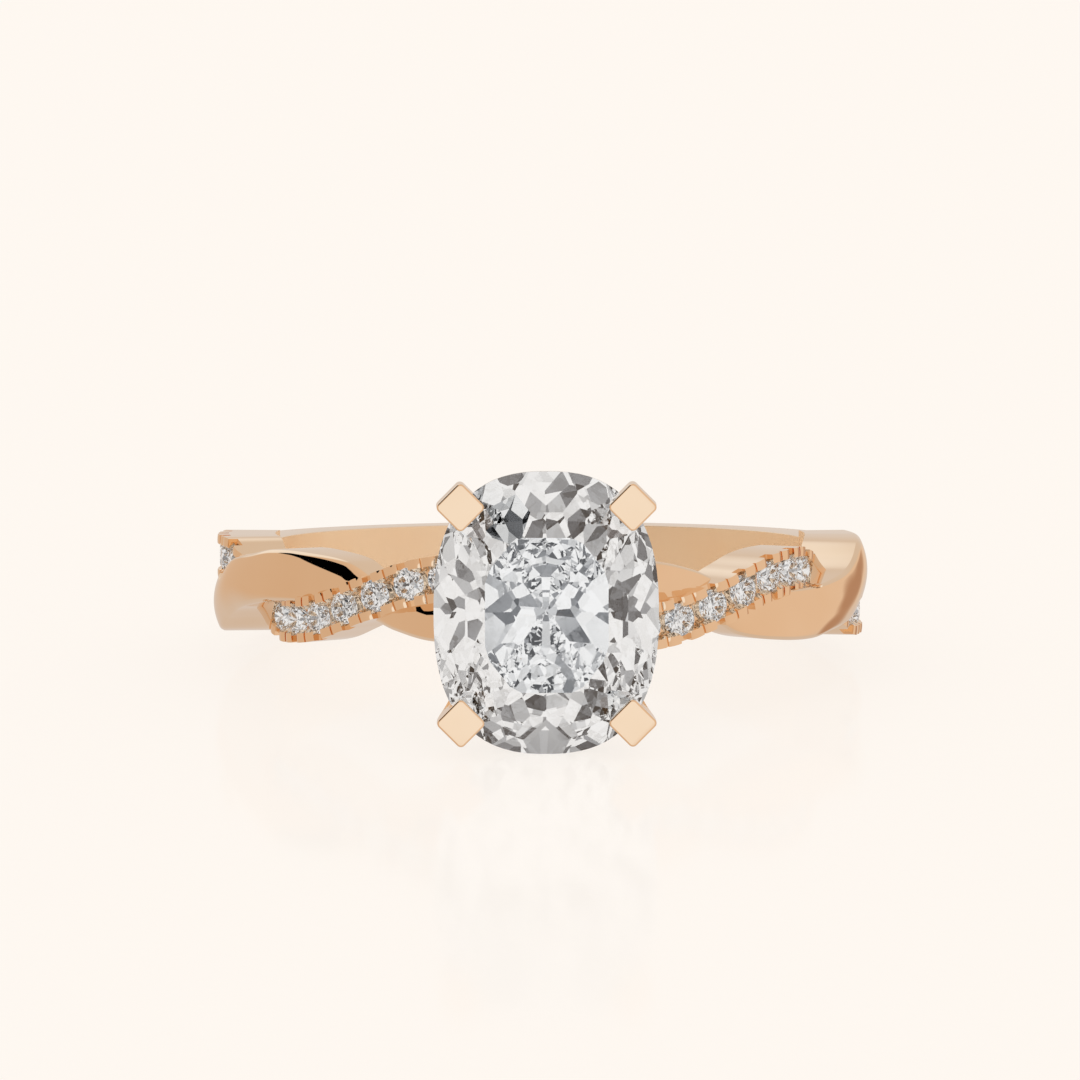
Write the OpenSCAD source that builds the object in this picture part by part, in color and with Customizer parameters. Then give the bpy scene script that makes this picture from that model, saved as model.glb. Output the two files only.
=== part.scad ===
// A finger ring whose shank splits into two strands that twist together on either side of the head.
// One strand of each pair is plain and rounded, the other carries a row of small round stones.
// In the ring's own frame the finger goes along Z and the head points along -Y. The finished ring is
// then laid down as it rests by itself, on the end of its large stone and the back edge of its shank.

/* [Shank] */
// Diameter of the finger hole
bore_d = 16.92; // [14:0.02:21]
// Wall of the plain back of the shank
band_t = 1.74; // [1.3:0.02:2]
// Width of the plain back of the shank
band_w = 2.66; // [2.2:0.02:3]
// Edge break along the plain back
band_edge = 0.12; // [0.04:0.02:0.3]
// Angle from the head at which the plain back begins
back_from = 103; // [98:1:112]

/* [Twist] */
// Height of the strands above the finger hole, where they stand tallest
strand_h = 2.1; // [1.9:0.02:2.5]
// Width over both strands
twist_w = 3.06; // [2.8:0.02:3.4]
// Fall of the rounded strand's face from its middle to its edges
crown_drop = 0.36; // [0.1:0.02:0.6]

/* [Small stones] */
// Diameter of the small stones
pave_d = 1; // [0.8:0.02:1.1]
// Metal between one small stone and the next
pave_gap = 0.12; // [0.06:0.01:0.3]
// Angle from the head of the first small stone
pave_from = 17.4; // [17:0.2:20]
// Angle from the head past which no small stone is set
pave_to = 96; // [80:1:97]
// Width of the rails beside the small stones
rail_w = 0.15; // [0.1:0.01:0.25]
// Height of the rails above the girdles of the small stones
rail_up = 0.24; // [0.18:0.01:0.32]
// Width of the notch in the rails beside each small stone
notch_w = 0.3; // [0.15:0.01:0.45]
// Width of the split between the beads that hold two small stones
split_w = 0.08; // [0.05:0.01:0.15]

/* [Centre stone] */
// Width of the centre stone, round the finger
stone_w = 6.55; // [5.6:0.01:7.6]
// Length of the centre stone, along the finger
stone_l = 8.23; // [7:0.01:9.6]
// Height of its crown
crown_h = 1; // [0.8:0.02:1.3]
// Thickness of its girdle
girdle_t = 0.16; // [0.08:0.02:0.3]
// Depth of its pavilion
pavilion_h = 2.9; // [2.4:0.02:3.2]
// Share of the outline that the table takes
table_share = 0.58; // [0.5:0.01:0.66]

/* [Head] */
// Height of the centre stone's girdle above the finger hole
head_h = 4.94; // [4.8:0.02:6]
// Side of the square prongs
prong_w = 1.05; // [0.8:0.01:1.2]
// Radius of the prongs' corners
prong_r = 0.15; // [0.05:0.01:0.3]
// Height of the prongs above the table
prong_over = 0.12; // [0.04:0.02:0.4]
// Width of the gallery rail
gallery_w = 0.6; // [0.4:0.02:0.8]
// Thickness of the gallery rail
gallery_t = 0.6; // [0.4:0.02:0.9]

/* [Hidden] */
// Clearance between a stone and the metal that holds it
stone_gap = 0.03;

bore_r = bore_d / 2;
half_twist = twist_w / 2;
pave_w = pave_d + 2 * rail_w;
// Sideways room that the stone-set strand has within the twist
lane = (twist_w - pave_w) / 2;
// Depth below the finger hole's wall from which a strand is built before the hole is bored
root = 0.5;
// The strands run a little past the head's middle, where they cross into those of the other side
strand_from = -12;
sections = 31;
section_step = (back_from - strand_from) / sections;
// Angle by which the plain back runs on under the strands
back_lap = 0.6 * section_step;
// Sides of a full round
round_n = 120;

// The left half, by angle from the head: middle of the stone-set strand as a share of its lane, and
// height of its rails as a share of strand_h
PAVE_ROWS = [
    // angle, middle, height
    [-12, 0.85, 0.78],
    [0, 0.90, 0.82],
    [17, 0.84, 0.88],
    [24, 0.61, 0.88],
    [30, 0.20, 0.90],
    [33, 0.00, 0.93],
    [37, -0.30, 0.90],
    [43, -0.67, 0.86],
    [50, -0.83, 0.78],
    [56, -0.78, 0.67],
    [65, -0.12, 0.55],
    [75, 0.92, 0.83],
    [80, 0.99, 0.87],
    [86, 1.00, 0.88],
    [120, 1.00, 0.82],
];
// The rounded strand of the left half: low and high edge as shares of half_twist, height as a share
// of strand_h
PLAIN_ROWS = [
    // angle, low edge, high edge, height
    [-12, -0.78, 0.10, 0.70],
    [0, -0.80, 0.10, 0.72],
    [20, -0.78, 0.06, 0.74],
    [28, -0.60, 0.25, 0.68],
    [33, -0.40, 0.45, 0.65],
    [38, -0.22, 0.74, 0.72],
    [47, -0.12, 0.89, 0.86],
    [55, -0.14, 0.91, 0.95],
    [61, -0.23, 0.80, 0.99],
    [68, -0.39, 0.69, 1.00],
    [73, -0.59, 0.49, 1.00],
    [79, -0.88, 0.33, 0.98],
    [85, -0.98, 0.20, 0.93],
    [92, -1.00, 0.17, 0.90],
    [120, -1.00, 0.17, 0.82],
];
// Face of the rounded strand: place across as a share of its half width, fall as a share of crown_drop
PLAIN_FACE = [[-1, 1], [-0.9, 0.6], [-0.5, 0.2], [0, 0], [0.5, 0.2], [0.9, 0.6], [1, 1]];
// Face of the stone-set strand: place across as a share of its half width, fall as a share of rail_up.
// A fall of 1 is the groove's floor.
PAVE_FACE = [[-1, 0.5], [-0.84, 0], [-0.62, 0], [-0.42, 1], [0.42, 1], [0.62, 0], [0.84, 0], [1, 0.5]];
// Prong, from foot to top: height, place round the finger, place along the finger and width, as shares
PRONG_ROWS = [
    // height, round, along, width
    [0.00, 0.50, 0.20, 0.80],
    [0.20, 0.56, 0.32, 0.80],
    [0.45, 0.74, 0.62, 0.88],
    [0.66, 0.92, 0.90, 0.96],
    [0.76, 1.00, 1.00, 1.00],
    [1.00, 1.00, 1.00, 1.00],
];
GALLERY_AT = 0.46;
// Height of the prongs' feet above the finger hole's wall
foot_up = 0.9;

// Rail height of the stone-set strand, as a share of strand_h, at which the small stones are spaced
pave_at = 0.86;
// Depth of its groove past the row of stones, as a share of rail_up
closed_groove = 0.1;
// Depth of a split below the small stones' girdles, as a share of rail_up
split_deep = 0.3;
// Share of a small stone that the rounded strand may cover past its middle, before its place is left out
pave_spare = 0.05;

// Proportions of a small round stone, as shares of its diameter
small_table = 0.29;
small_crown = 0.15;
small_girdle = 0.03;
small_pavilion = 0.43;
// Where its stars and its lower mains end
small_star = 0.4;
small_low = 0.16;
// Sides of the seat cut for it
seat_n = 12;

// Exponent of the centre stone's outline: 2 is an oval, more is squarer
outline_n = 2.5;
outline_points = 72;
// Main facets on each side of the girdle
mains = 8;
// Where its stars start, as a share of the table's size, and their slope in degrees
star_place = 0.93;
star_tilt = 20;
// How much steeper its halves are than its mains, above and below the girdle
half_steep = 1.3;
low_half_steep = 1.12;
low_star_steep = 1.35;
girdle_r = bore_r + head_h;
// Share of the centre stone's half sizes at which its outline turns a corner
corner = pow(0.5, 1 / outline_n);
// Length of the head over the outer corners of the prongs
head_span = stone_l * corner + prong_w * sqrt(2) - 2 * prong_r * (sqrt(2) - 1);
prong_foot = bore_r + foot_up;
prong_top = girdle_r + girdle_t / 2 + crown_h + prong_over;

gold = "#d9ac84";
diamond = "#e9edf0";

// Slope of a table's column c at row i, taken between its neighbours
function slope(rows, i, c) =
    i == 0 || i == len(rows) - 1 ? 0
    : (rows[i + 1][c] - rows[i - 1][c]) / (rows[i + 1][0] - rows[i - 1][0]);

// Value of column c at x, on a smooth curve through the rows
function along(rows, x, c) =
    let (i = max([for (k = [0:len(rows) - 2]) if (k == 0 || rows[k][0] <= x) k]),
         w = rows[i + 1][0] - rows[i][0],
         t = min(max((x - rows[i][0]) / w, 0), 1))
    rows[i][c] * (1 + 2 * t) * (1 - t) * (1 - t)
    + rows[i + 1][c] * t * t * (3 - 2 * t)
    + slope(rows, i, c) * w * t * (1 - t) * (1 - t)
    - slope(rows, i + 1, c) * w * t * t * (1 - t);

function pave_z(a) = lane * along(PAVE_ROWS, a, 1);
function pave_r(a) = bore_r + strand_h * along(PAVE_ROWS, a, 2);
function plain_low(a) = half_twist * along(PLAIN_ROWS, a, 1);
function plain_high(a) = half_twist * along(PLAIN_ROWS, a, 2);
function plain_r(a) = bore_r + strand_h * along(PLAIN_ROWS, a, 3);

// A point at radius r, angle a from the head round the left side, and height z
function spot(r, a, z) = [-r * sin(a), -r * cos(a), z];

// Section of the rounded strand at angle a: two points under the finger hole's wall, then the face
function plain_section(a) =
    let (mid = (plain_low(a) + plain_high(a)) / 2,
         half = (plain_high(a) - plain_low(a)) / 2)
    concat([spot(bore_r - root, a, mid + half), spot(bore_r - root, a, mid - half)],
           [for (p = PLAIN_FACE) spot(plain_r(a) - p[1] * crown_drop, a, mid + p[0] * half)]);

// Section of the stone-set strand at angle a: a bar with a groove along its top, between two rails.
// Past the row of stones the groove is closed.
function pave_section(a) =
    let (mid = pave_z(a), half = pave_w / 2, top = pave_r(a),
         floor = abs(a - (pave_from + pave_end) / 2) < (pave_end - pave_from) / 2 + pave_step ? 1 : closed_groove)
    concat([for (side = [0, -1, -1]) spot(bore_r - root, a, mid + side * half)],
           [for (p = PAVE_FACE) spot(top - (p[1] == 1 ? floor : p[1]) * rail_up, a, mid + p[0] * half)],
           [spot(bore_r - root, a, mid + half)]);

// Solid through a list of sections that all have the same number of points
module loft(sections) {
    n = len(sections[0]);
    last = len(sections) - 1;
    polyhedron(
        points = [for (s = sections) each s],
        faces = concat(
            [[for (k = [0:n - 1]) k]],
            [for (i = [0:last - 1], k = [0:n - 1])
                each [[i * n + k, (i + 1) * n + k, i * n + (k + 1) % n],
                      [(i + 1) * n + k, (i + 1) * n + (k + 1) % n, i * n + (k + 1) % n]]],
            [[for (k = [n - 1:-1:0]) last * n + k]]));
}

STATIONS = [for (i = [0:sections]) strand_from + i * section_step];

module plain_strand() loft([for (a = STATIONS) plain_section(a)]);

// Angle from one small stone to the next
pave_step = (pave_d + pave_gap) / (bore_r + strand_h * pave_at - rail_up) * 180 / PI;
pave_count = floor((pave_to - pave_from) / pave_step) + 1;
pave_end = pave_from + (pave_count - 1) * pave_step;

function pave_angle(i) = pave_from + (i - 1) * pave_step;

// A place is open where the rounded strand covers less than about half of its stone
function pave_open(i) =
    let (a = pave_angle(i), spare = pave_d * pave_spare)
    plain_r(a) < pave_r(a) || plain_low(a) > pave_z(a) + spare || plain_high(a) < pave_z(a) - spare;

PAVE_OPEN = [for (i = [1:pave_count]) if (pave_open(i)) i];

// Puts a child at place i, which may lie between two stones, with +Z out of the finger hole
module at_pave(i) {
    a = pave_angle(i);
    translate(spot(pave_r(a) - rail_up, a, pave_z(a)))
        rotate([90, 0, -a])
            rotate([0, 0, -atan2(pave_z(a + 1) - pave_z(a - 1), (pave_r(a) - rail_up) * 2 * PI / 180)])
                children();
}

module pave_strand() {
    long = 2 * pave_w;
    difference() {
        loft([for (a = STATIONS) pave_section(a)]);
        for (i = PAVE_OPEN)
            at_pave(i)
                translate([-notch_w / 2, -long / 2, -rail_up])
                    cube([notch_w, long, 3 * rail_up]);
        for (i = PAVE_OPEN)
            if (pave_open(i + 1) && i < pave_count)
                at_pave(i + 0.5)
                    translate([-split_w / 2, -long / 2, -rail_up * split_deep])
                        cube([split_w, long, 2 * rail_up]);
    }
}

// Half outline of a small stone, grown by grow, from its culet to its table
function small_side(grow) =
    let (r = pave_d / 2 + grow, g = small_girdle * pave_d / 2 + grow)
    [[0, -g - small_pavilion * pave_d], [r, -g], [r, g],
     [small_table * pave_d + grow, g + small_crown * pave_d], [0, g + small_crown * pave_d]];

// Seat with flat sides, which clear the stone by stone_gap
module small_seat()
    rotate_extrude($fn = seat_n)
        polygon(small_side((stone_gap + pave_d / 2) / cos(180 / seat_n) - pave_d / 2));

function ring(r, z, n, turn) = [for (k = [0:n - 1]) [r * cos(turn + k * 360 / n), r * sin(turn + k * 360 / n), z]];

// A round brilliant: table, stars, kites, upper halves, girdle, lower halves and mains
module small_stone() {
    r = pave_d / 2;
    g = small_girdle * pave_d / 2;
    t = small_table * pave_d;
    crown = small_crown * pave_d;
    deep = small_pavilion * pave_d;
    star = small_star * pave_d;
    low = small_low * pave_d;
    // Heights at which the kites and the mains meet their neighbours
    star_z = g + crown * (r - star * cos(22.5)) / (r - t);
    low_z = -g - deep * (1 - low * cos(22.5) / r);
    points = concat(ring(t, g + crown, 8, 0), ring(star, star_z, 8, 22.5), ring(r, g, 16, 0),
                    ring(r, -g, 16, 0), ring(low, low_z, 8, 22.5), [[0, 0, -g - deep]]);
    polyhedron(
        points = points,
        faces = concat(
            [[for (k = [7:-1:0]) k]],
            [for (k = [0:7]) let (k1 = (k + 1) % 8) [k, k1, 8 + k]],
            [for (k = [0:7]) let (kb = (k + 7) % 8) [k, 8 + k, 16 + 2 * k, 8 + kb]],
            [for (k = [0:7]) each [[8 + k, 17 + 2 * k, 16 + 2 * k],
                                   [8 + k, 16 + (2 * k + 2) % 16, 17 + 2 * k]]],
            [for (j = [0:15]) let (j1 = (j + 1) % 16) each [[16 + j, 16 + j1, 32 + j], [16 + j1, 32 + j1, 32 + j]]],
            [for (k = [0:7]) each [[48 + k, 32 + 2 * k, 33 + 2 * k],
                                   [48 + k, 33 + 2 * k, 32 + (2 * k + 2) % 16]]],
            [for (k = [0:7]) let (kb = (k + 7) % 8) [56, 48 + kb, 32 + 2 * k, 48 + k]]));
}

// Distance of the centre stone's outline from its middle, measured along a normal at azimuth az
function support(az, grow = 0) =
    let (m = outline_n / (outline_n - 1))
    pow(pow(abs(stone_w / 2 * cos(az)), m) + pow(abs(stone_l / 2 * sin(az)), m), 1 / m) + grow;

// Azimuth of a facet whose place on a round stone is at angle q
function lean(q) = atan2(stone_w * sin(q), stone_l * cos(q));

// Point of the outline at parameter angle q, on half sizes a and b
function outline_point(a, b, q) =
    [a * sign(cos(q)) * pow(abs(cos(q)), 2 / outline_n), b * sign(sin(q)) * pow(abs(sin(q)), 2 / outline_n)];

module outline(a, b)
    polygon([for (k = [0:outline_points - 1]) outline_point(a, b, (k + 0.5) * 360 / outline_points)]);

// Takes away all that lies above a plane through height up at distance out from the axis
module facet(az, out, up, tilt) {
    big = 2 * stone_l;
    rotate([0, 0, az])
        translate([out, 0, up])
            rotate([0, tilt, 0])
                translate([-big, -big, 0])
                    cube([2 * big, 2 * big, big]);
}

// The centre stone with its girdle's middle at the origin and its table up, grown by grow
module cushion(grow = 0) hull() {
    g = girdle_t / 2 + grow;
    difference() {
        translate([0, 0, -g - pavilion_h])
            linear_extrude(2 * g + pavilion_h + crown_h)
                outline(stone_w / 2 + grow, stone_l / 2 + grow);
        for (k = [0:mains - 1]) {
            main = lean(k * 360 / mains);
            star = lean((k + 0.5) * 360 / mains);
            facet(main, support(main, grow), g, atan(crown_h / ((1 - table_share) * support(main))));
            facet(star, table_share * support(star) * star_place, g + crown_h, star_tilt);
            mirror([0, 0, 1])
                facet(main, support(main, grow), g, atan(pavilion_h / support(main)));
            mirror([0, 0, 1])
                facet(star, support(star, grow), g, atan(low_star_steep * pavilion_h / support(star)));
            for (d = [-0.25, 0.25]) {
                half = lean((k + d) * 360 / mains);
                facet(half, support(half, grow), g, atan(half_steep * crown_h / ((1 - table_share) * support(half))));
                mirror([0, 0, 1])
                    facet(half, support(half, grow), g, atan(low_half_steep * pavilion_h / support(half)));
            }
        }
    }
}

// Puts a child that has its table up at the centre stone's place in the ring
module at_head() translate([0, -girdle_r, 0]) rotate([90, 0, 0]) children();

// Square with round corners, as a ring of points, turned so that its corners point along and across
function prong_ring(w, x, z, y) =
    [for (q = [0:3], d = [-45, 0, 45])
        let (c = (w / 2 - prong_r) * sqrt(2))
        [x + c * cos(q * 90) + prong_r * cos(q * 90 + d), y, z + c * sin(q * 90) + prong_r * sin(q * 90 + d)]];

module prong() {
    loft([for (p = PRONG_ROWS)
        prong_ring(prong_w * p[3], stone_w / 2 * corner * p[1], stone_l / 2 * corner * p[2],
                   -prong_foot - (prong_top - prong_foot) * p[0])]);
}

// Oval rail under the stone that ties the prongs together
module gallery() {
    a = stone_w / 2 * along(PRONG_ROWS, GALLERY_AT, 1);
    b = stone_l / 2 * along(PRONG_ROWS, GALLERY_AT, 2);
    at = prong_foot + (prong_top - prong_foot) * GALLERY_AT;
    translate([0, -at + gallery_t / 2, 0])
        rotate([90, 0, 0])
            linear_extrude(gallery_t)
                difference() {
                    outline(a + gallery_w / 2, b + gallery_w / 2);
                    outline(a - gallery_w / 2, b - gallery_w / 2);
                }
}

module plain_back() {
    out = bore_r + band_t;
    half = band_w / 2;
    rotate([0, 0, -90 + back_from - back_lap])
        rotate_extrude(angle = 360 - 2 * (back_from - back_lap), $fn = round_n)
            polygon([[bore_r - root / 2, -half], [out - band_edge, -half], [out, -half + band_edge],
                     [out, half - band_edge], [out - band_edge, half], [bore_r - root / 2, half]]);
}

// The two sides are alike under half a turn about the head's axis
module both_sides() for (turn = [0, 180]) rotate([0, turn, 0]) children();

// Lays the ring down on the end of its centre stone and the back edge of its shank
rest_tilt = atan((stone_l - band_w) / 2 / (girdle_r + bore_r + band_t - band_edge));
rest_up = band_w / 2 * cos(rest_tilt) + (bore_r + band_t - band_edge) * sin(rest_tilt);
rest_front = prong_top * cos(rest_tilt) + head_span / 2 * sin(rest_tilt);
rest_back = (bore_r + band_t) * cos(rest_tilt) + band_w / 2 * sin(rest_tilt);

module laid() translate([0, (rest_front - rest_back) / 2, rest_up]) rotate([-rest_tilt, 0, 0]) children();

// The whole casting before the finger hole is bored, at its full length over the prongs
module casting()
    resize([0, 0, head_span])
        difference() {
            union() {
                plain_back();
                both_sides() {
                    pave_strand();
                    plain_strand();
                }
                for (x = [0, 1], z = [0, 1])
                    mirror([x, 0, 0]) mirror([0, 0, z]) prong();
                gallery();
            }
            both_sides() for (i = PAVE_OPEN) at_pave(i) small_seat();
            at_head() cushion(stone_gap);
        }

module shank_and_head() {
    color(gold)
        laid()
            difference() {
                casting();
                cylinder(r = bore_r, h = 4 * twist_w, center = true, $fn = round_n);
            }
}

module centre_stone() color(diamond) laid() at_head() cushion();

module pave_stone(turn, i) color(diamond) laid() rotate([0, turn, 0]) at_pave(i) small_stone();

SIDES = [["left", 0], ["right", 180]];

shank_and_head();
centre_stone();
for (s = SIDES, i = PAVE_OPEN)
    pave_stone(s[1], i);
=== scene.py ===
import bmesh
import bpy
import numpy as np
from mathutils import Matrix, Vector


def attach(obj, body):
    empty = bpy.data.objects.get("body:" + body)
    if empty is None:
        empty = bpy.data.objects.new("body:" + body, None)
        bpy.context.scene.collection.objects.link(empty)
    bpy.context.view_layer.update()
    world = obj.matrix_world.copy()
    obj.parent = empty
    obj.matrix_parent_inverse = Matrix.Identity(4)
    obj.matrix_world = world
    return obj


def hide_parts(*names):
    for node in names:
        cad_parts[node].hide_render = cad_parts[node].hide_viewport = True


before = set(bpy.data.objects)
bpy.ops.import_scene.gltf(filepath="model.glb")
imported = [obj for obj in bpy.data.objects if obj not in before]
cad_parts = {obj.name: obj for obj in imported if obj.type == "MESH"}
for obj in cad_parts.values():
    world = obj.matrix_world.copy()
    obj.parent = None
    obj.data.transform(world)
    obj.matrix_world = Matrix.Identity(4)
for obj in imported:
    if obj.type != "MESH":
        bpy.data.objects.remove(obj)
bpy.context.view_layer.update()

# The plain back of the shank is a flat band of 14 carat rose gold, cast in one with everything else
# that is metal. Its four faces are filed true, and its edges are broken and polished. Here and below,
# sizes are in mm, and angles round the finger are in degrees from the head.
MM = 0.001
BORE_R = 8.46
BORE_EDGE = 0.03
BAND_T = 1.74
BAND_W = 2.66
BAND_EDGE = 0.12
BACK_FROM = 97.6

# The finished ring lies on the lower end of its large stone and on the back edge of its shank. The
# head's sizes say how far that tips the ring, and where the middle of the finger hole comes. On the
# stone's outline, the shares of its two half sizes, each to the power OUTLINE_N, add up to one.
STONE_L = 8.23
STONE_W = 6.55
OUTLINE_N = 2.5
CORNER = 0.5 ** (1 / OUTLINE_N)
GIRDLE_R = 13.4
PRONG_TOP = 14.6
PRONG_W = 1.05
PRONG_R = 0.15
TILT = np.arctan((STONE_L - BAND_W) / 2 / (GIRDLE_R + BORE_R + BAND_T - BAND_EDGE))
HEAD_SPAN = STONE_L * CORNER + PRONG_W * 2**0.5 - 2 * PRONG_R * (2**0.5 - 1)
FRONT = PRONG_TOP * np.cos(TILT) + HEAD_SPAN / 2 * np.sin(TILT)
BACK = (BORE_R + BAND_T) * np.cos(TILT) + BAND_W / 2 * np.sin(TILT)
MIDDLE_Y = (FRONT - BACK) / 2
MIDDLE_Z = BAND_W / 2 * np.cos(TILT) + (BORE_R + BAND_T - BAND_EDGE) * np.sin(TILT)


def laid(points):
    """Points of the upright ring, with the finger along Z and the head towards -Y, turned by the tilt
    about X, moved to where the ring lies, and given in metres."""
    x, y, z = np.moveaxis(np.asarray(points, float), -1, 0)
    c, s = np.cos(TILT), np.sin(TILT)
    return np.stack([x, y * c + z * s + MIDDLE_Y, z * c - y * s + MIDDLE_Z], -1) * MM


def round_finger(r, degrees, z):
    """Points at radius r from the finger's axis, at an angle from the head, at height z."""
    r, a, z = np.broadcast_arrays(r, np.radians(degrees), z)
    return np.stack([-r * np.sin(a), -r * np.cos(a), z], -1)


SHARP = np.radians(30)
NEAR_BORE = 0.01


def skin(name, loops, ring):
    """A closed surface through a grid of points, given as rows of closed loops. Each four neighbours
    make a face. A ring's last row is joined to its first; otherwise a fan to the middle closes each
    end. Faces on the finger hole's wall take the second material."""
    rows, cols = loops.shape[:2]
    points = laid(loops).reshape(-1, 3)
    number = np.arange(rows * cols).reshape(rows, cols)
    here = number if ring else number[:-1]
    ahead = np.roll(number, -1, 0)[:len(here)]
    quads = np.stack([here, ahead, np.roll(ahead, -1, 1), np.roll(here, -1, 1)], -1).reshape(-1, 4)
    fans = np.zeros((0, 3), int)
    if not ring:
        first, last = number[0], number[-1]
        fans = np.concatenate([
            np.stack([first, np.roll(first, -1), np.full(cols, len(points))], -1),
            np.stack([np.roll(last, -1), last, np.full(cols, len(points) + 1)], -1),
        ])
        points = np.concatenate([points, laid(loops[[0, -1]].mean(1))])
    halves = np.concatenate([quads[:, [0, 1, 2]], quads[:, [0, 2, 3]], fans])
    a, b, c = (points[halves[:, m]] for m in range(3))
    if np.einsum("ij,ij->", a, np.cross(b, c)) < 0:
        # The volume is below zero, so the faces point inwards
        quads, fans = quads[:, ::-1], fans[:, ::-1]
    mesh = bpy.data.meshes.new(name)
    mesh.from_pydata(points.tolist(), [], quads.tolist() + fans.tolist())
    mesh.shade_smooth()
    mesh.set_sharp_from_angle(angle=SHARP)
    mesh.polygons.foreach_set("use_smooth", np.arange(len(mesh.polygons)) < len(quads))
    r = np.hypot(*loops[..., :2].reshape(-1, 2).T)
    inside = np.append((r < BORE_R + NEAR_BORE)[quads].all(1), np.zeros(len(fans), bool))
    mesh.polygons.foreach_set("material_index", inside.astype(np.int32))
    piece = bpy.data.objects.new(name, mesh)
    bpy.context.scene.collection.objects.link(piece)
    return piece


def linear(text):
    """An sRGB hex colour as linear red, green, blue and a full alpha."""
    s = np.array([int(text[k:k + 2], 16) for k in (1, 3, 5)]) / 255
    rgb = np.where(s <= 0.04045, s / 12.92, ((s + 0.055) / 1.055) ** 2.4)
    return (*rgb.tolist(), 1.0)


def set_up(node, settings):
    """Sets a node's fields and its inputs. An input goes by its name, or by its number where others
    share its name, and takes a value or the socket that feeds it."""
    for key, value in settings.items():
        if isinstance(key, str) and key not in node.inputs:
            setattr(node, key, value)
        elif isinstance(value, bpy.types.NodeSocket):
            node.id_data.links.new(value, node.inputs[key])
        else:
            node.inputs[key].default_value = value


def add(tree, kind, settings):
    """Adds one node with its settings and links."""
    node = tree.nodes.new(kind)
    set_up(node, settings)
    return node


def rose_gold(name, roughness, colours, hairlines):
    """14 carat rose gold, cast, then polished to a mirror outside and left satin inside the finger
    hole. Polished, the eye sees only what it reflects, warmed by the copper in it, and under a lens a
    trace of hairlines from the mop. Satin, it shows one even tone; its colours are painted lighter than
    the polished gold's, as painted light against the shade inside the finger hole."""
    material = bpy.data.materials.new(name)
    material.use_nodes = True
    tree = material.node_tree
    place = add(tree, "ShaderNodeTexCoord", {}).outputs["Object"]
    # Hairlines run round the ring 0.02 mm apart, too fine to show here, so they are drawn 6.7 to a mm
    drawn = add(tree, "ShaderNodeMapping", {"Scale": (1.5 / MM, 1.5 / MM, 6.7 / MM), "Vector": place})
    lines = add(tree, "ShaderNodeTexNoise",
                {"Scale": 1.0, "Detail": 3.0, "Vector": drawn.outputs["Vector"]})
    # Handling leaves the polish a little duller in patches of 2 mm
    worn = add(tree, "ShaderNodeTexNoise", {"Scale": 0.5 / MM, "Detail": 2.0, "Vector": place})
    rough = add(tree, "ShaderNodeMapRange",
                {"To Min": roughness[0], "To Max": roughness[1], "Value": worn.outputs["Fac"]})
    tint = add(tree, "ShaderNodeValToRGB", {"Fac": worn.outputs["Fac"]})
    for stop, at, colour in zip(tint.color_ramp.elements, (0.3, 0.7), colours):
        stop.position = at
        stop.color = linear(colour)
    bump = add(tree, "ShaderNodeBump",
               {"Strength": hairlines, "Distance": 0.01 * MM, "Height": lines.outputs["Fac"]})
    set_up(tree.nodes["Principled BSDF"], {
        "Metallic": 1.0,
        "Base Color": tint.outputs["Color"],
        "Roughness": rough.outputs["Result"],
        "Normal": bump.outputs["Normal"],
    })
    return material


polished = rose_gold("rose_gold_14ct_polished", (0.02, 0.05), ("#f3dabd", "#f5dec3"), 0.015)
# Painted light: the satin's colours are lighter than the polished gold's, to offset the shade inside
# the finger hole
satin = rose_gold("rose_gold_14ct_satin", (0.46, 0.54), ("#fdeed8", "#fef2de"), 0.05)


def gold_piece(name, loops, ring=False):
    """A rose gold surface that stands for part of the casting."""
    piece = skin(name, loops, ring)
    piece.data.materials.append(polished)
    piece.data.materials.append(satin)
    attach(piece, "root")
    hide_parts("shank_and_head")
    # The stones mirror light inside themselves, so that no metal is seen through them
    piece.visible_transmission = False
    return piece


def band_outline():
    """A rectangle's outline, as radii and heights. Each corner turns through a quarter circle, which
    is small at the finger hole and larger outside."""
    turn = np.radians(np.linspace(0, 90, 7))
    out, up = 1 - np.cos(turn), 1 - np.sin(turn)
    r = np.concatenate([BORE_R + BORE_EDGE * out, BORE_R + BAND_T - BAND_EDGE * out[::-1]])
    z = BAND_W / 2 - np.concatenate([BORE_EDGE * up, BAND_EDGE * up[::-1]])
    return np.append(r, r[::-1]), np.append(-z, z[::-1])


band_r, band_z = band_outline()
back_angles = np.linspace(BACK_FROM, 360 - BACK_FROM, 181)[:, None]
gold_piece("shank_back", round_finger(band_r, back_angles, band_z))

# The stone-set strand is a bar of the casting with a groove cut along its top. The two rails that are
# left are cut down beside each stone and split between stones, so that each block ends in beads that
# are pushed over two girdles.
STRAND_H = 2.1
TWIST_W = 3.06
STRANDS_FROM = -12
STRANDS_TO = 98.2
SIDES = {"left": np.array([1, 1, 1]), "right": np.array([-1, 1, -1])}
# Walls that run into one another at the finger hole are kept a few thousandths of a mm apart, and the
# rounded strands' walls half as far again
WALLS = {"left": 0.002, "right": 0.004}
PAVE_D = 1.0
PAVE_GAP = 0.12
PITCH = PAVE_D + PAVE_GAP
PAVE_FROM = 17.4
PAVE_COUNT = 13
# Numbers of the places that the rounded strand covers, where no stone is set
HIDDEN = (8, 9)
# Share of the strand's height at which the stones' pitch is laid off
PAVE_AT = 0.86
# Width of a rail, how far it stands out past the twist, and its crown's height above the girdles
RAIL_W = 0.15
RAIL_OVER = 0.05
RAIL_UP = 0.24
LANE = (TWIST_W - PAVE_D - 2 * RAIL_W) / 2
BAR = PAVE_D / 2 + RAIL_W + RAIL_OVER
PAVE_STEP = np.degrees(PITCH / (BORE_R + STRAND_H * PAVE_AT - RAIL_UP))
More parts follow.
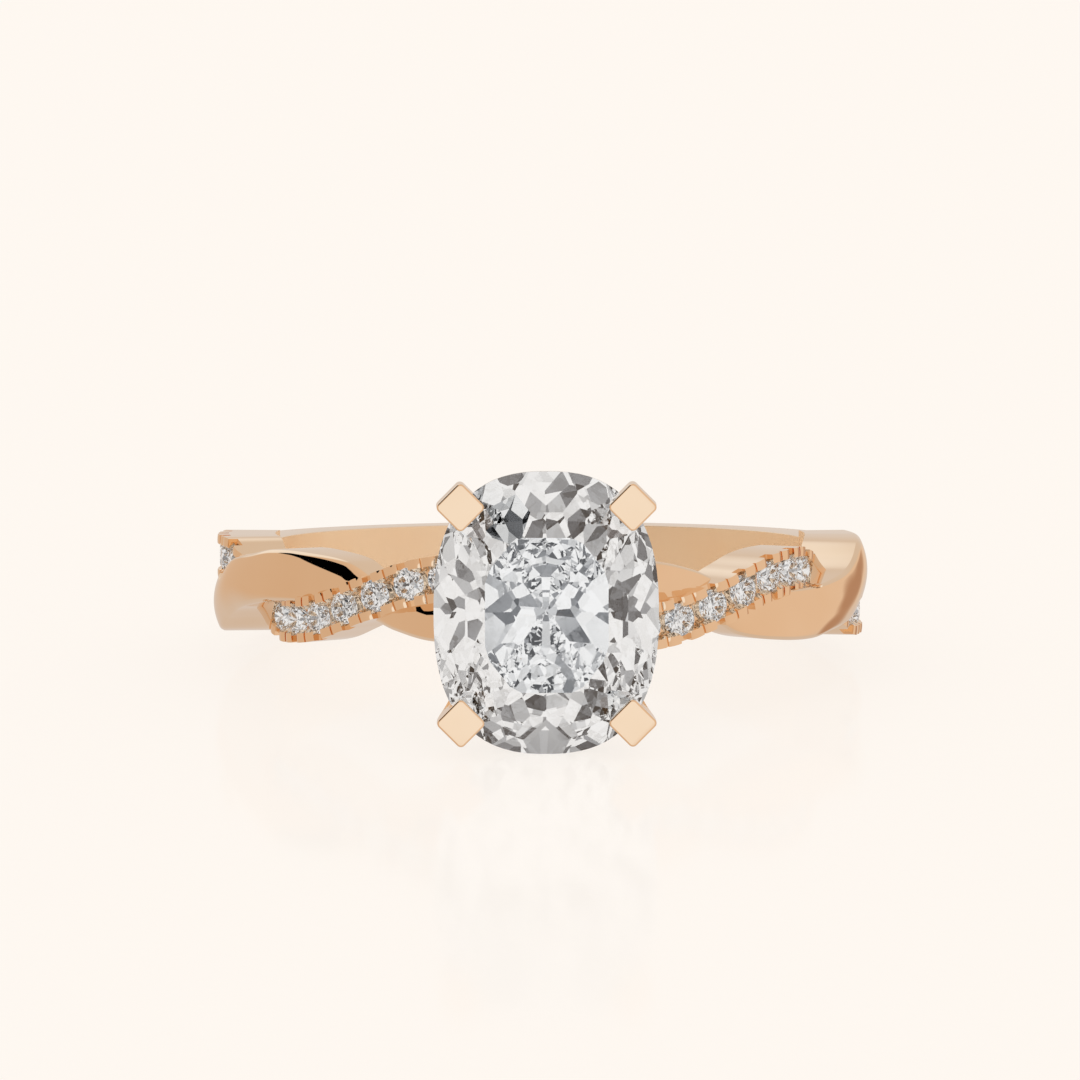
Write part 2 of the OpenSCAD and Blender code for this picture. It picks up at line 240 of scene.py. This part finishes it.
# Angle from the head, middle as a share of its lane, height of the rails as a share of the strand's
STONE_SET = np.array([
    [STRANDS_FROM, 0.85, 0.78],
    [0, 0.90, 0.82],
    [17, 0.84, 0.88],
    [24, 0.61, 0.88],
    [30, 0.20, 0.90],
    [33, 0.00, 0.93],
    [37, -0.30, 0.90],
    [43, -0.67, 0.86],
    [50, -0.83, 0.78],
    [56, -0.78, 0.67],
    [65, -0.12, 0.55],
    [75, 0.92, 0.83],
    [80, 0.99, 0.87],
    [86, 1.00, 0.88],
    [120, 1.00, 0.82],
])


def along(rows, x, column):
    """A table's column at x, on a cubic through the rows that leaves each with the slope between its
    neighbours, and is level at both ends."""
    at, value = rows[:, 0], rows[:, column]
    slope = np.zeros(len(rows))
    slope[1:-1] = (value[2:] - value[:-2]) / (at[2:] - at[:-2])
    i = np.clip(np.searchsorted(at, x, side="right") - 1, 0, len(rows) - 2)
    w = at[i + 1] - at[i]
    t = np.clip((x - at[i]) / w, 0, 1)
    return (value[i] * (1 + 2 * t) * (1 - t) ** 2 + value[i + 1] * t * t * (3 - 2 * t)
            + slope[i] * w * t * (1 - t) ** 2 - slope[i + 1] * w * t * t * (1 - t))


def stone_path(a):
    """Radius of the girdles, height, and slant of the row of stones at each angle."""
    r = BORE_R + STRAND_H * along(STONE_SET, a, 2) - RAIL_UP
    z = LANE * along(STONE_SET, a, 1)
    rise = LANE * (along(STONE_SET, a + 1, 1) - along(STONE_SET, a - 1, 1))
    return r, z, np.arctan2(rise, r * np.radians(2))


def nearest(a):
    """The place in the row, counted from 0, that is nearest to an angle."""
    return np.clip(np.round((a - PAVE_FROM) / PAVE_STEP), 0, PAVE_COUNT - 1)


def has_stone(place):
    """Whether a stone is set at a place in the row."""
    return ~np.isin(place + 1, HIDDEN)


# Room between a stone and the cone under it, and the stone's depth below its girdle as a share
SEAT_GAP = 0.06
CULET_DEEP = 0.43
# Shares of the stone's radius that a seat reaches to: past the girdle, or short of it under a bead
SEAT_REACH = 1.06
LIP_REACH = 0.82


def clear_stones(r, a, z, reach):
    """The radius, but within reach of a stone's middle (a share of its radius) no higher than a cone
    that runs just under the stone, from its girdle down to its culet."""
    place = nearest(a)
    girdle, middle, _ = stone_path(PAVE_FROM + place * PAVE_STEP)
    ahead = girdle * np.radians(a - PAVE_FROM - place * PAVE_STEP)
    d = np.hypot(ahead, z - middle) / (PAVE_D / 2)
    under = girdle - SEAT_GAP - CULET_DEEP * PAVE_D * np.clip(1 - d, 0, 1)
    return np.where((d < reach) & has_stone(place), np.minimum(r, under), r)


NOTCH_W = 0.3
SPLIT_W = 0.045
# Floors of the notches and splits, as shares of the rails' height above the girdles
NOTCH_UP = -0.5
SPLIT_UP = 0.35
# The groove's floor and slope: distance from the middle of the bar, and height above the girdles
PLAIN_UP = RAIL_UP - 0.03
GROOVE = np.array([[0, -0.2], [0.26, -0.2], [0.3, 0.04], [0.4, PLAIN_UP]])
# The rails are a little crowned across, and each block falls a little to its two ends
RAIL_MIDDLE = 0.5
RAIL_HALF = 0.2
RAIL_CROWN = 0.02
BLOCK_FALL = 0.05
# Width of a step in the top, as a share of the stones' pitch
STEP = 0.004
# Lines along the bar, from its middle out, closest on the groove's slope: first, last and count
LINES = ((0, 0.26, 9), (0.28, 0.46, 13), (0.49, BAR, 9))


def both_ways(*runs):
    """Evenly spaced places, given as runs of first, last and count, from zero out to both sides."""
    half = np.concatenate([np.linspace(*run) for run in runs])
    return np.concatenate([-half[:0:-1], half])


def stone_strand(wall):
    """A bar along the row of stones, with walls straight down to the finger. The height of its top
    above the girdles comes from the distance w across the row and the share of the pitch to the
    nearest stone: groove, rails, notches, splits and seats."""
    notch, split = NOTCH_W / 2 / PITCH, 0.5 - SPLIT_W / 2 / PITCH
    # Rows stand close round each stone, and half a degree apart before the first
    shares = both_ways((0, notch - 2 * STEP, 8), (notch, split - STEP, 22), (split, 0.4999, 2))
    set_rows = (PAVE_FROM + PAVE_STEP * (np.arange(PAVE_COUNT)[:, None] + shares)).ravel()
    before = np.arange(STRANDS_FROM, set_rows[0] - 0.1, 0.5)
    beyond = np.linspace(set_rows[-1] + 0.1, STRANDS_TO, 8)
    a = np.concatenate([before, set_rows, beyond])[:, None]
    place = nearest(a)
    share = (a - PAVE_FROM) / PAVE_STEP - place
    stone = (np.abs(share) <= 0.5) & has_stone(place)
    across = both_ways(*LINES)
    w = np.abs(across)
    girdle, z, slant = stone_path(a)
    v = across * np.cos(slant)
    angle = a - np.degrees(v * np.sin(slant) / girdle)
    height = z + v * np.cos(slant)
    crown = RAIL_UP - RAIL_CROWN * ((w - RAIL_MIDDLE) / RAIL_HALF) ** 2
    on_rail = w > GROOVE[-1, 0]
    grooved = np.where(on_rail, crown, np.interp(w, GROOVE[:, 0], GROOVE[:, 1]))
    up = np.where(stone, grooved, np.where(on_rail, crown, PLAIN_UP))
    # Place along a block of rail, from -1 at the notch to 1 at the split
    block = np.clip((np.abs(share) - (notch + split) / 2) / ((split - notch) / 2), -1, 1)
    off_floor = w > GROOVE[2, 0]
    up = up - np.where(stone & off_floor, BLOCK_FALL * block**2, 0)
    notched = stone & (np.abs(share) < notch - STEP)
    up = np.where(notched, np.minimum(up, NOTCH_UP * RAIL_UP), up)
    neighbour = np.clip(place + np.sign(share), 0, PAVE_COUNT - 1)
    parted = stone & has_stone(neighbour) & (np.abs(share) > split - STEP / 2)
    up = np.where(parted, np.minimum(up, SPLIT_UP * RAIL_UP), up)
    reach = np.where(off_floor & ~notched, LIP_REACH, SEAT_REACH)
    top = clear_stones(girdle + up, angle, height, reach)
    r = np.concatenate([top, np.full((len(a), 2), BORE_R + wall)], 1)
    angle = np.concatenate([angle, angle[:, -1:], angle[:, :1]], 1)
    height = np.concatenate([height, height[:, -1:], height[:, :1]], 1)
    return round_finger(r, angle, height)


for side, turn in SIDES.items():
    gold_piece(f"stone_strand_{side}", stone_strand(WALLS[side]) * turn)

# The rounded strand is drawn up from the shank, crosses over the stone-set strand on the shoulder,
# and dips under it beside the head. It is cast in one with the shank, and its face is polished.
CROWN_DROP = 0.24
FACE_EDGE = 0.13
# Angle from the head, low and high edge as shares of half the twist, height as a share of the strand's
ROUNDED = np.array([
    [STRANDS_FROM, -0.78, 0.10, 0.70],
    [0, -0.80, 0.10, 0.72],
    [20, -0.78, 0.06, 0.74],
    [28, -0.60, 0.25, 0.68],
    [33, -0.40, 0.45, 0.65],
    [38, -0.22, 0.74, 0.72],
    [47, -0.12, 0.89, 0.86],
    [55, -0.14, 0.91, 0.95],
    [61, -0.23, 0.80, 0.99],
    [68, -0.39, 0.69, 1.00],
    [73, -0.59, 0.49, 1.00],
    [79, -0.88, 0.33, 0.98],
    [85, -0.98, 0.20, 0.93],
    [92, -1.00, 0.17, 0.90],
    [120, -1.00, 0.17, 0.82],
])


def rounded_strand(wall):
    """At each angle: across the face the radius falls from the crown by the drop times the square of
    the place across. Each edge then turns through a quarter circle into a wall, and both walls go
    straight down to the finger."""
    a = np.linspace(STRANDS_FROM, STRANDS_TO, 361)[:, None]
    low, high = (TWIST_W / 2 * along(ROUNDED, a, column) for column in (1, 2))
    half = (high - low) / 2
    turn = np.radians(np.linspace(0, 90, 8))[1:]
    flat = np.linspace(-1, 1, 31)
    side, level = np.ones(len(turn)), np.zeros(len(flat))
    share = np.concatenate([-side, flat, side])
    bent = np.concatenate([-np.sin(turn[::-1]), level, np.sin(turn)])
    fall = np.concatenate([1 - np.cos(turn[::-1]), level, 1 - np.cos(turn)])
    v = share * (half - FACE_EDGE) + bent * FACE_EDGE
    face = BORE_R + STRAND_H * along(ROUNDED, a, 3) - CROWN_DROP * (v / half) ** 2 - FACE_EDGE * fall
    r = np.concatenate([face, np.full((len(a), 2), BORE_R + wall)], 1)
    z = (low + high) / 2 + np.concatenate([v, half, -half], 1)
    return round_finger(clear_stones(r, a, z, SEAT_REACH), a, z)


for side, turn in SIDES.items():
    gold_piece(f"rounded_strand_{side}", rounded_strand(1.5 * WALLS[side]) * turn)

# The large stone is a diamond cut as a cushion brilliant with extra rows of facets, and is pushed down
# into the prongs' seats. The small ones are full cut round diamonds, each held in its seat by beads.
CROWN_H = 1.0
GIRDLE_T = 0.16
PAVILION_H = 2.9
TABLE = 0.58
# Facets in a row, turn of the first as a share of one, place on the stone's radius and height there as
# shares, and slope against the mean one; first the crown, from its girdle to its table
CROWN_FACETS = [
    (16, 0.5, 1.0, 0.0, 1.34),
    (16, 0.0, 0.93, 0.2, 1.08),
    (8, 0.5, 0.82, 0.47, 0.86),
    (8, 0.0, 0.70, 0.77, 0.62),
]
PAVILION_FACETS = [
    (16, 0.5, 1.0, 0.0, 1.24),
    (16, 0.0, 0.86, 0.17, 1.10),
    (16, 0.5, 0.66, 0.38, 0.98),
    (8, 0.5, 0.42, 0.62, 0.88),
    (8, 0.0, 0.24, 0.79, 0.80),
]
# The rough prism that the facets are cut from: its sides, and its depth in pavilions
PRISM_SIDES = 72
PRISM_DEEP = 2


def swell(wave, power):
    """A cosine or sine to a power, with its sign kept. Below one it swells a circle to a cushion."""
    return np.sign(wave) * np.abs(wave) ** power


def cut_facet(bm, side, high, span, turn, place, up, steep):
    """Takes off all that lies beyond one facet's plane. The plane stands as far from the axis as the
    outline reaches in its direction, times its place, and its slope is steep times the mean one."""
    dual = OUTLINE_N / (OUTLINE_N - 1)
    lean = np.arctan2(STONE_W * np.sin(turn), STONE_L * np.cos(turn))
    out = np.array([np.cos(lean), np.sin(lean)])
    reach = (np.abs(out * [STONE_W / 2, STONE_L / 2]) ** dual).sum() ** (1 / dual)
    slope = steep * high / (span * reach)
    cut = bmesh.ops.bisect_plane(
        bm, geom=bm.verts[:] + bm.edges[:] + bm.faces[:], clear_outer=True,
        plane_co=(*(place * reach * out), side * (GIRDLE_T / 2 + up * high)),
        plane_no=Vector((*(slope * out), side)).normalized())
    edges = [e for e in cut["geom_cut"] if isinstance(e, bmesh.types.BMEdge)]
    bmesh.ops.holes_fill(bm, edges=edges)


def cushion():
    """A prism on the stone's outline, from which each facet's plane takes what lies beyond it, first
    round the crown and then round the pavilion."""
    bm = bmesh.new()
    q = 2 * np.pi * (np.arange(PRISM_SIDES) + 0.5) / PRISM_SIDES
    x = STONE_W / 2 * swell(np.cos(q), 2 / OUTLINE_N)
    z = STONE_L / 2 * swell(np.sin(q), 2 / OUTLINE_N)
    low, high = ([bm.verts.new((*point, h)) for point in zip(x, z)]
                 for h in (-PRISM_DEEP * PAVILION_H, CROWN_H + GIRDLE_T / 2))
    bm.faces.new(low[::-1])
    bm.faces.new(high)
    for k in range(PRISM_SIDES):
        ahead = (k + 1) % PRISM_SIDES
        bm.faces.new((low[k], low[ahead], high[ahead], high[k]))
    crown = (CROWN_FACETS, 1, CROWN_H, 1 - TABLE)
    pavilion = (PAVILION_FACETS, -1, PAVILION_H, 1)
    for rows, side, height, span in (crown, pavilion):
        for count, first, place, up, steep in rows:
            for k in range(count):
                turn = 2 * np.pi * (k + first) / count
                cut_facet(bm, side, height, span, turn, place, up, steep)
    points = np.array([v.co for v in bm.verts])
    points = laid(np.stack([points[:, 0], -GIRDLE_R - points[:, 2], points[:, 1]], -1))
    for vertex, point in zip(bm.verts, points):
        vertex.co = point
    bmesh.ops.recalc_face_normals(bm, faces=bm.faces[:])
    bmesh.ops.triangulate(bm, faces=bm.faces[:])
    mesh = bpy.data.meshes.new("cushion_brilliant")
    bm.to_mesh(mesh)
    bm.free()
    return mesh


def diamond():
    """Colourless diamond, its facets polished flat on a wheel. It bends light far more than glass, so
    its facets turn bright and dark. Its gloss is held back a little and kept cool, beside so much
    gold."""
    material = bpy.data.materials.new("diamond_polished")
    material.use_nodes = True
    tree = material.node_tree
    place = add(tree, "ShaderNodeTexCoord", {}).outputs["Object"]
    # Traces of the wheel are too fine to show, so they are drawn 3.3 to a mm
    wheel = add(tree, "ShaderNodeTexNoise", {"Scale": 3.3 / MM, "Detail": 1.0, "Vector": place})
    rough = add(tree, "ShaderNodeMapRange",
                {"To Min": 0.0, "To Max": 0.004, "Value": wheel.outputs["Fac"]})
    tint = add(tree, "ShaderNodeValToRGB", {"Fac": wheel.outputs["Fac"]})
    for stop, colour in zip(tint.color_ramp.elements, ("#fafbfc", "#ffffff")):
        stop.color = linear(colour)
    set_up(tree.nodes["Principled BSDF"], {
        "IOR": 2.42,
        "Transmission Weight": 1.0,
        "Specular Tint": linear("#c9cdd4"),
        "Base Color": tint.outputs["Color"],
        "Roughness": rough.outputs["Result"],
    })
    return material


clear = diamond()
large = bpy.data.objects.new("cushion_brilliant", cushion())
large.data.materials.append(clear)
bpy.context.scene.collection.objects.link(large)
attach(large, "root")
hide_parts("centre_stone")
for name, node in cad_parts.items():
    if name not in ("shank_and_head", "centre_stone"):
        node.material_slots[0].material = clear

# Four square prongs rise from the crossed strands and lean out to the corners of the large stone.
# They are rose gold, cast in one with the strands. Their flat ends are polished after the stone is
# pushed home.
# The prongs start inside the strands, so that their feet don't show
PRONG_FOOT = BORE_R + 0.9
PRONG_EDGE = 0.05
# Height, place round the finger, place along it and width, each as a share
PRONG = np.array([
    [0.00, 0.50, 0.20, 0.80],
    [0.20, 0.56, 0.32, 0.80],
    [0.45, 0.74, 0.62, 0.88],
    [0.66, 0.92, 0.90, 0.96],
    [0.76, 1.00, 1.00, 1.00],
    [1.00, 1.00, 1.00, 1.00],
])
# The seat is this many times the stone
SEAT_GROWTH = 1.006


def prong(x_side, z_side):
    """Squares with round corners that point round the finger and along it, one above the other: their
    middle follows the table, and the last few draw in through a quarter circle to break the edge."""
    turn = np.radians(np.linspace(0, 90, 6))
    span = PRONG_TOP - PRONG_FOOT
    shaft = np.linspace(0, 1 - PRONG_EDGE / span, 60)[:-1]
    up = np.append(shaft, 1 - PRONG_EDGE / span * (1 - np.sin(turn)))[:, None]
    inset = np.append(np.zeros(len(shaft)), PRONG_EDGE * (1 - np.cos(turn)))[:, None]
    fan = np.linspace(-45, 45, 9)
    quarter = np.repeat(np.arange(4) * 90, len(fan))
    around = np.radians(quarter + np.tile(fan, 4))
    reach = (PRONG_W * along(PRONG, up, 3) / 2 - PRONG_R) * 2**0.5
    x = reach * np.cos(np.radians(quarter)) + (PRONG_R - inset) * np.cos(around)
    z = reach * np.sin(np.radians(quarter)) + (PRONG_R - inset) * np.sin(around)
    x = x_side * (x + STONE_W / 2 * CORNER * along(PRONG, up, 1))
    z = z_side * (z + STONE_L / 2 * CORNER * along(PRONG, up, 2))
    y = np.broadcast_to(-PRONG_FOOT - span * up, x.shape)
    return np.stack([x, y, z], -1)


def seat(piece):
    """Cuts the large stone's seat out of a piece: the stone, grown about its girdle's middle."""
    middle = Vector(laid(np.array([0, -GIRDLE_R, 0])))
    grown = large.data.copy()
    at = np.array([v.co for v in grown.vertices])
    grown.vertices.foreach_set("co", ((at - middle) * SEAT_GROWTH + middle).ravel())
    tool = bpy.data.objects.new("seat_tool", grown)
    bpy.context.scene.collection.objects.link(tool)
    cut = piece.modifiers.new("seat", "BOOLEAN")
    cut.operation = "DIFFERENCE"
    cut.solver = "EXACT"
    cut.object = tool
    shaped = piece.evaluated_get(bpy.context.evaluated_depsgraph_get())
    mesh = bpy.data.meshes.new_from_object(shaped)
    piece.modifiers.clear()
    piece.data = mesh
    mesh.set_sharp_from_angle(angle=SHARP)
    bpy.data.objects.remove(tool)


for k, (x_side, z_side) in enumerate([(1, 1), (-1, 1), (-1, -1), (1, -1)], 1):
    seat(gold_piece(f"prong_{k}", prong(x_side, z_side)))

# A gallery rail runs round under the large stone and ties the prongs together. It is rose gold wire of
# a rounded square section, bent to the stone's outline and soldered in, so it is one with them.
GALLERY_AT = 0.46
GALLERY_W = 0.6
GALLERY_T = 0.6
GALLERY_ROUND = 0.6


def gallery():
    """A rounded square carried round the stone's outline, at the prongs' place at that height."""
    q = np.radians(np.arange(0, 360, 2.5))[:, None]
    turn = np.radians(np.arange(0, 360, 15))
    out = GALLERY_W / 2 * swell(np.cos(turn), GALLERY_ROUND)
    level = GALLERY_T / 2 * swell(np.sin(turn), GALLERY_ROUND)
    at = np.array([[GALLERY_AT]])
    x = (STONE_W / 2 * along(PRONG, at, 1) + out) * swell(np.cos(q), 2 / OUTLINE_N)
    z = (STONE_L / 2 * along(PRONG, at, 2) + out) * swell(np.sin(q), 2 / OUTLINE_N)
    y = np.broadcast_to(-(PRONG_FOOT + (PRONG_TOP - PRONG_FOOT) * GALLERY_AT) + level, x.shape)
    return np.stack([x, y, z], -1)


seat(gold_piece("gallery_rail", gallery(), ring=True))

# The floor is a light table's sheet of warm white acrylic, far larger than the ring, so that no edge
# shows. Light comes through it, and its polish gives a faint mirror image. Its half width is in metres.
FLOOR = 3.0


def acrylic():
    """Opal acrylic, lit from below and from the room, with a faint grain of 0.5 mm and a weak gloss.
    The eye sees one even glow, and the ring mirrored faintly in it."""
    material = bpy.data.materials.new("opal_acrylic_warm_white")
    material.use_nodes = True
    tree = material.node_tree
    place = add(tree, "ShaderNodeTexCoord", {}).outputs["Object"]
    grain = add(tree, "ShaderNodeTexNoise", {"Scale": 2 / MM, "Detail": 2.0, "Vector": place})
    tint = add(tree, "ShaderNodeValToRGB", {"Fac": grain.outputs["Fac"]})
    for stop, colour in zip(tint.color_ramp.elements, ("#696561", "#6b6763")):
        stop.color = linear(colour)
    glow = tree.nodes["Principled BSDF"]
    set_up(glow, {
        "Specular IOR Level": 0.0,
        "Roughness": 0.6,
        "Emission Color": linear("#fffaf4"),
        "Emission Strength": 0.896,
        "Base Color": tint.outputs["Color"],
    })
    gloss = add(tree, "ShaderNodeBsdfGlossy", {"Roughness": 0.1})
    both = add(tree, "ShaderNodeMixShader", {"Fac": 0.1, 1: glow.outputs[0], 2: gloss.outputs[0]})
    set_up(tree.nodes["Material Output"], {"Surface": both.outputs[0]})
    return material


floor_mesh = bpy.data.meshes.new("floor")
floor_corners = [(-FLOOR, -FLOOR, 0), (FLOOR, -FLOOR, 0), (FLOOR, FLOOR, 0), (-FLOOR, FLOOR, 0)]
floor_mesh.from_pydata(floor_corners, [], [(0, 1, 2, 3)])
floor_mesh.materials.append(acrylic())
floor = bpy.data.objects.new("floor", floor_mesh)
bpy.context.scene.collection.objects.link(floor)
floor.visible_glossy = False
floor.visible_transmission = False

# Soft studio light comes from a pale room all round. The metal mirrors warm walls in front and white
# ones behind and above, and the stones break up a patchwork of grey and white.
world = bpy.data.worlds.new("studio")
world.use_nodes = True
world.cycles.sampling_method = "NONE"
bpy.context.scene.world = world
room = world.node_tree
seen = add(room, "ShaderNodeTexCoord", {}).outputs["Generated"]
ray = add(room, "ShaderNodeLightPath", {}).outputs
# The colour sockets of a Mix node share their names with others, so they go by number
FACTOR = 0
UNDER = 6
OVER = 7
MIXED = 2


def toward(direction, low, high, under, over):
    """The room's colour, from under to over as the angle to a direction closes: the cosine of that
    angle eases from low to high."""
    cosine = add(room, "ShaderNodeVectorMath",
                 {"operation": "DOT_PRODUCT", 0: seen, 1: Vector(direction).normalized()})
    ease = add(room, "ShaderNodeMapRange", {
        "interpolation_type": "SMOOTHSTEP", "From Min": low, "From Max": high,
        "Value": cosine.outputs["Value"]})
    both = add(room, "ShaderNodeMix",
               {"data_type": "RGBA", FACTOR: ease.outputs[0], UNDER: under, OVER: over})
    return both.outputs[MIXED]


walls = toward((1, 0, 0), -0.8, 0.8, linear("#ddc3ab"), linear("#ebd4bf"))
# Pale below and above behind, a white sheet high on the left, and three spots that make a dark band
for direction, low, high, colour in (
        ((0, 0.6, -0.8), 0.55, 0.8, "#dbd0c8"),
        ((0, 0.86, 0.51), 0.76, 0.84, "#dfd4ca"),
        ((-0.35, 0.70, 0.62), 0.88, 0.95, "#fdfcfb"),
        ((0.69, 0.72, 0.02), 0.968, 0.999, "#bb957b"),
        ((0.74, 0.65, -0.16), 0.968, 0.999, "#bb957b"),
        ((0.68, 0.58, -0.43), 0.968, 0.999, "#bb957b")):
    walls = toward(direction, low, high, walls, linear(colour))
# One dark panel stands high on the left, between two straight edges and within a circle
panel = toward((0.566, -0.163, 0.808), -0.008, 0.008, walls, linear("#020101"))
panel = toward((0.831, 0.191, 0.521), -0.01, 0.01, panel, walls)
walls = toward((-0.66, -0.15, 0.74), 0.80, 0.815, walls, panel)
# A white lamp stands straight in front of the head
walls = toward((0.0, -1.0, 0.05), 0.965, 0.985, walls, linear("#fffdfb"))
cloud = add(room, "ShaderNodeTexNoise",
            {"Scale": 2.4, "Detail": 3.0, "Roughness": 0.6, "Vector": seen})
grey = add(room, "ShaderNodeValToRGB", {"Fac": cloud.outputs["Fac"]})
greys = ((0.39, "#1c1d1e"), (0.443, "#808183"), (0.478, "#b6b7b8"), (0.525, "#f2f2f2"))
for k, (at, colour) in enumerate(greys):
    stops = grey.color_ramp.elements
    stop = stops[k] if k < 2 else stops.new(at)
    stop.position = at
    stop.color = linear(colour)
mirrored = add(room, "ShaderNodeMix", {
    "data_type": "RGBA", FACTOR: ray["Is Glossy Ray"], UNDER: linear("#fffaf6"), OVER: walls})
light = add(room, "ShaderNodeMix", {
    "data_type": "RGBA", FACTOR: ray["Is Transmission Ray"],
    UNDER: mirrored.outputs[MIXED], OVER: grey.outputs["Color"]})
set_up(room.nodes["Background"], {"Color": light.outputs[MIXED]})

# The camera looks at the head from a little above the plane of the ring and a little from the left,
# at the photo's distance.
CAMERA_AWAY = 143.1
CAMERA_UP = np.radians(3.96)
CAMERA_LEFT = np.radians(0.76)
LENS = 148.8
VIEW_UP = 1.31
stand = CAMERA_AWAY * np.array([
    -np.sin(CAMERA_LEFT) * np.cos(CAMERA_UP),
    -np.cos(CAMERA_LEFT) * np.cos(CAMERA_UP),
    np.sin(CAMERA_UP),
])
data = bpy.data.cameras.new("camera")
data.lens = LENS
data.sensor_width = 36.0
data.clip_start = 0.005
data.clip_end = 10.0
camera = bpy.data.objects.new("camera", data)
camera.location = laid(stand)
aim = Vector(laid(np.array([0, 0, VIEW_UP])))
camera.rotation_euler = (aim - camera.location).to_track_quat("-Z", "Y").to_euler()
bpy.context.scene.collection.objects.link(camera)
bpy.context.scene.camera = camera
bpy.context.scene.view_settings.view_transform = "Standard"
# Light passes many facets before it leaves a stone
bpy.context.scene.cycles.max_bounces = 24
bpy.context.scene.cycles.glossy_bounces = 20
bpy.context.scene.cycles.transmission_bounces = 24
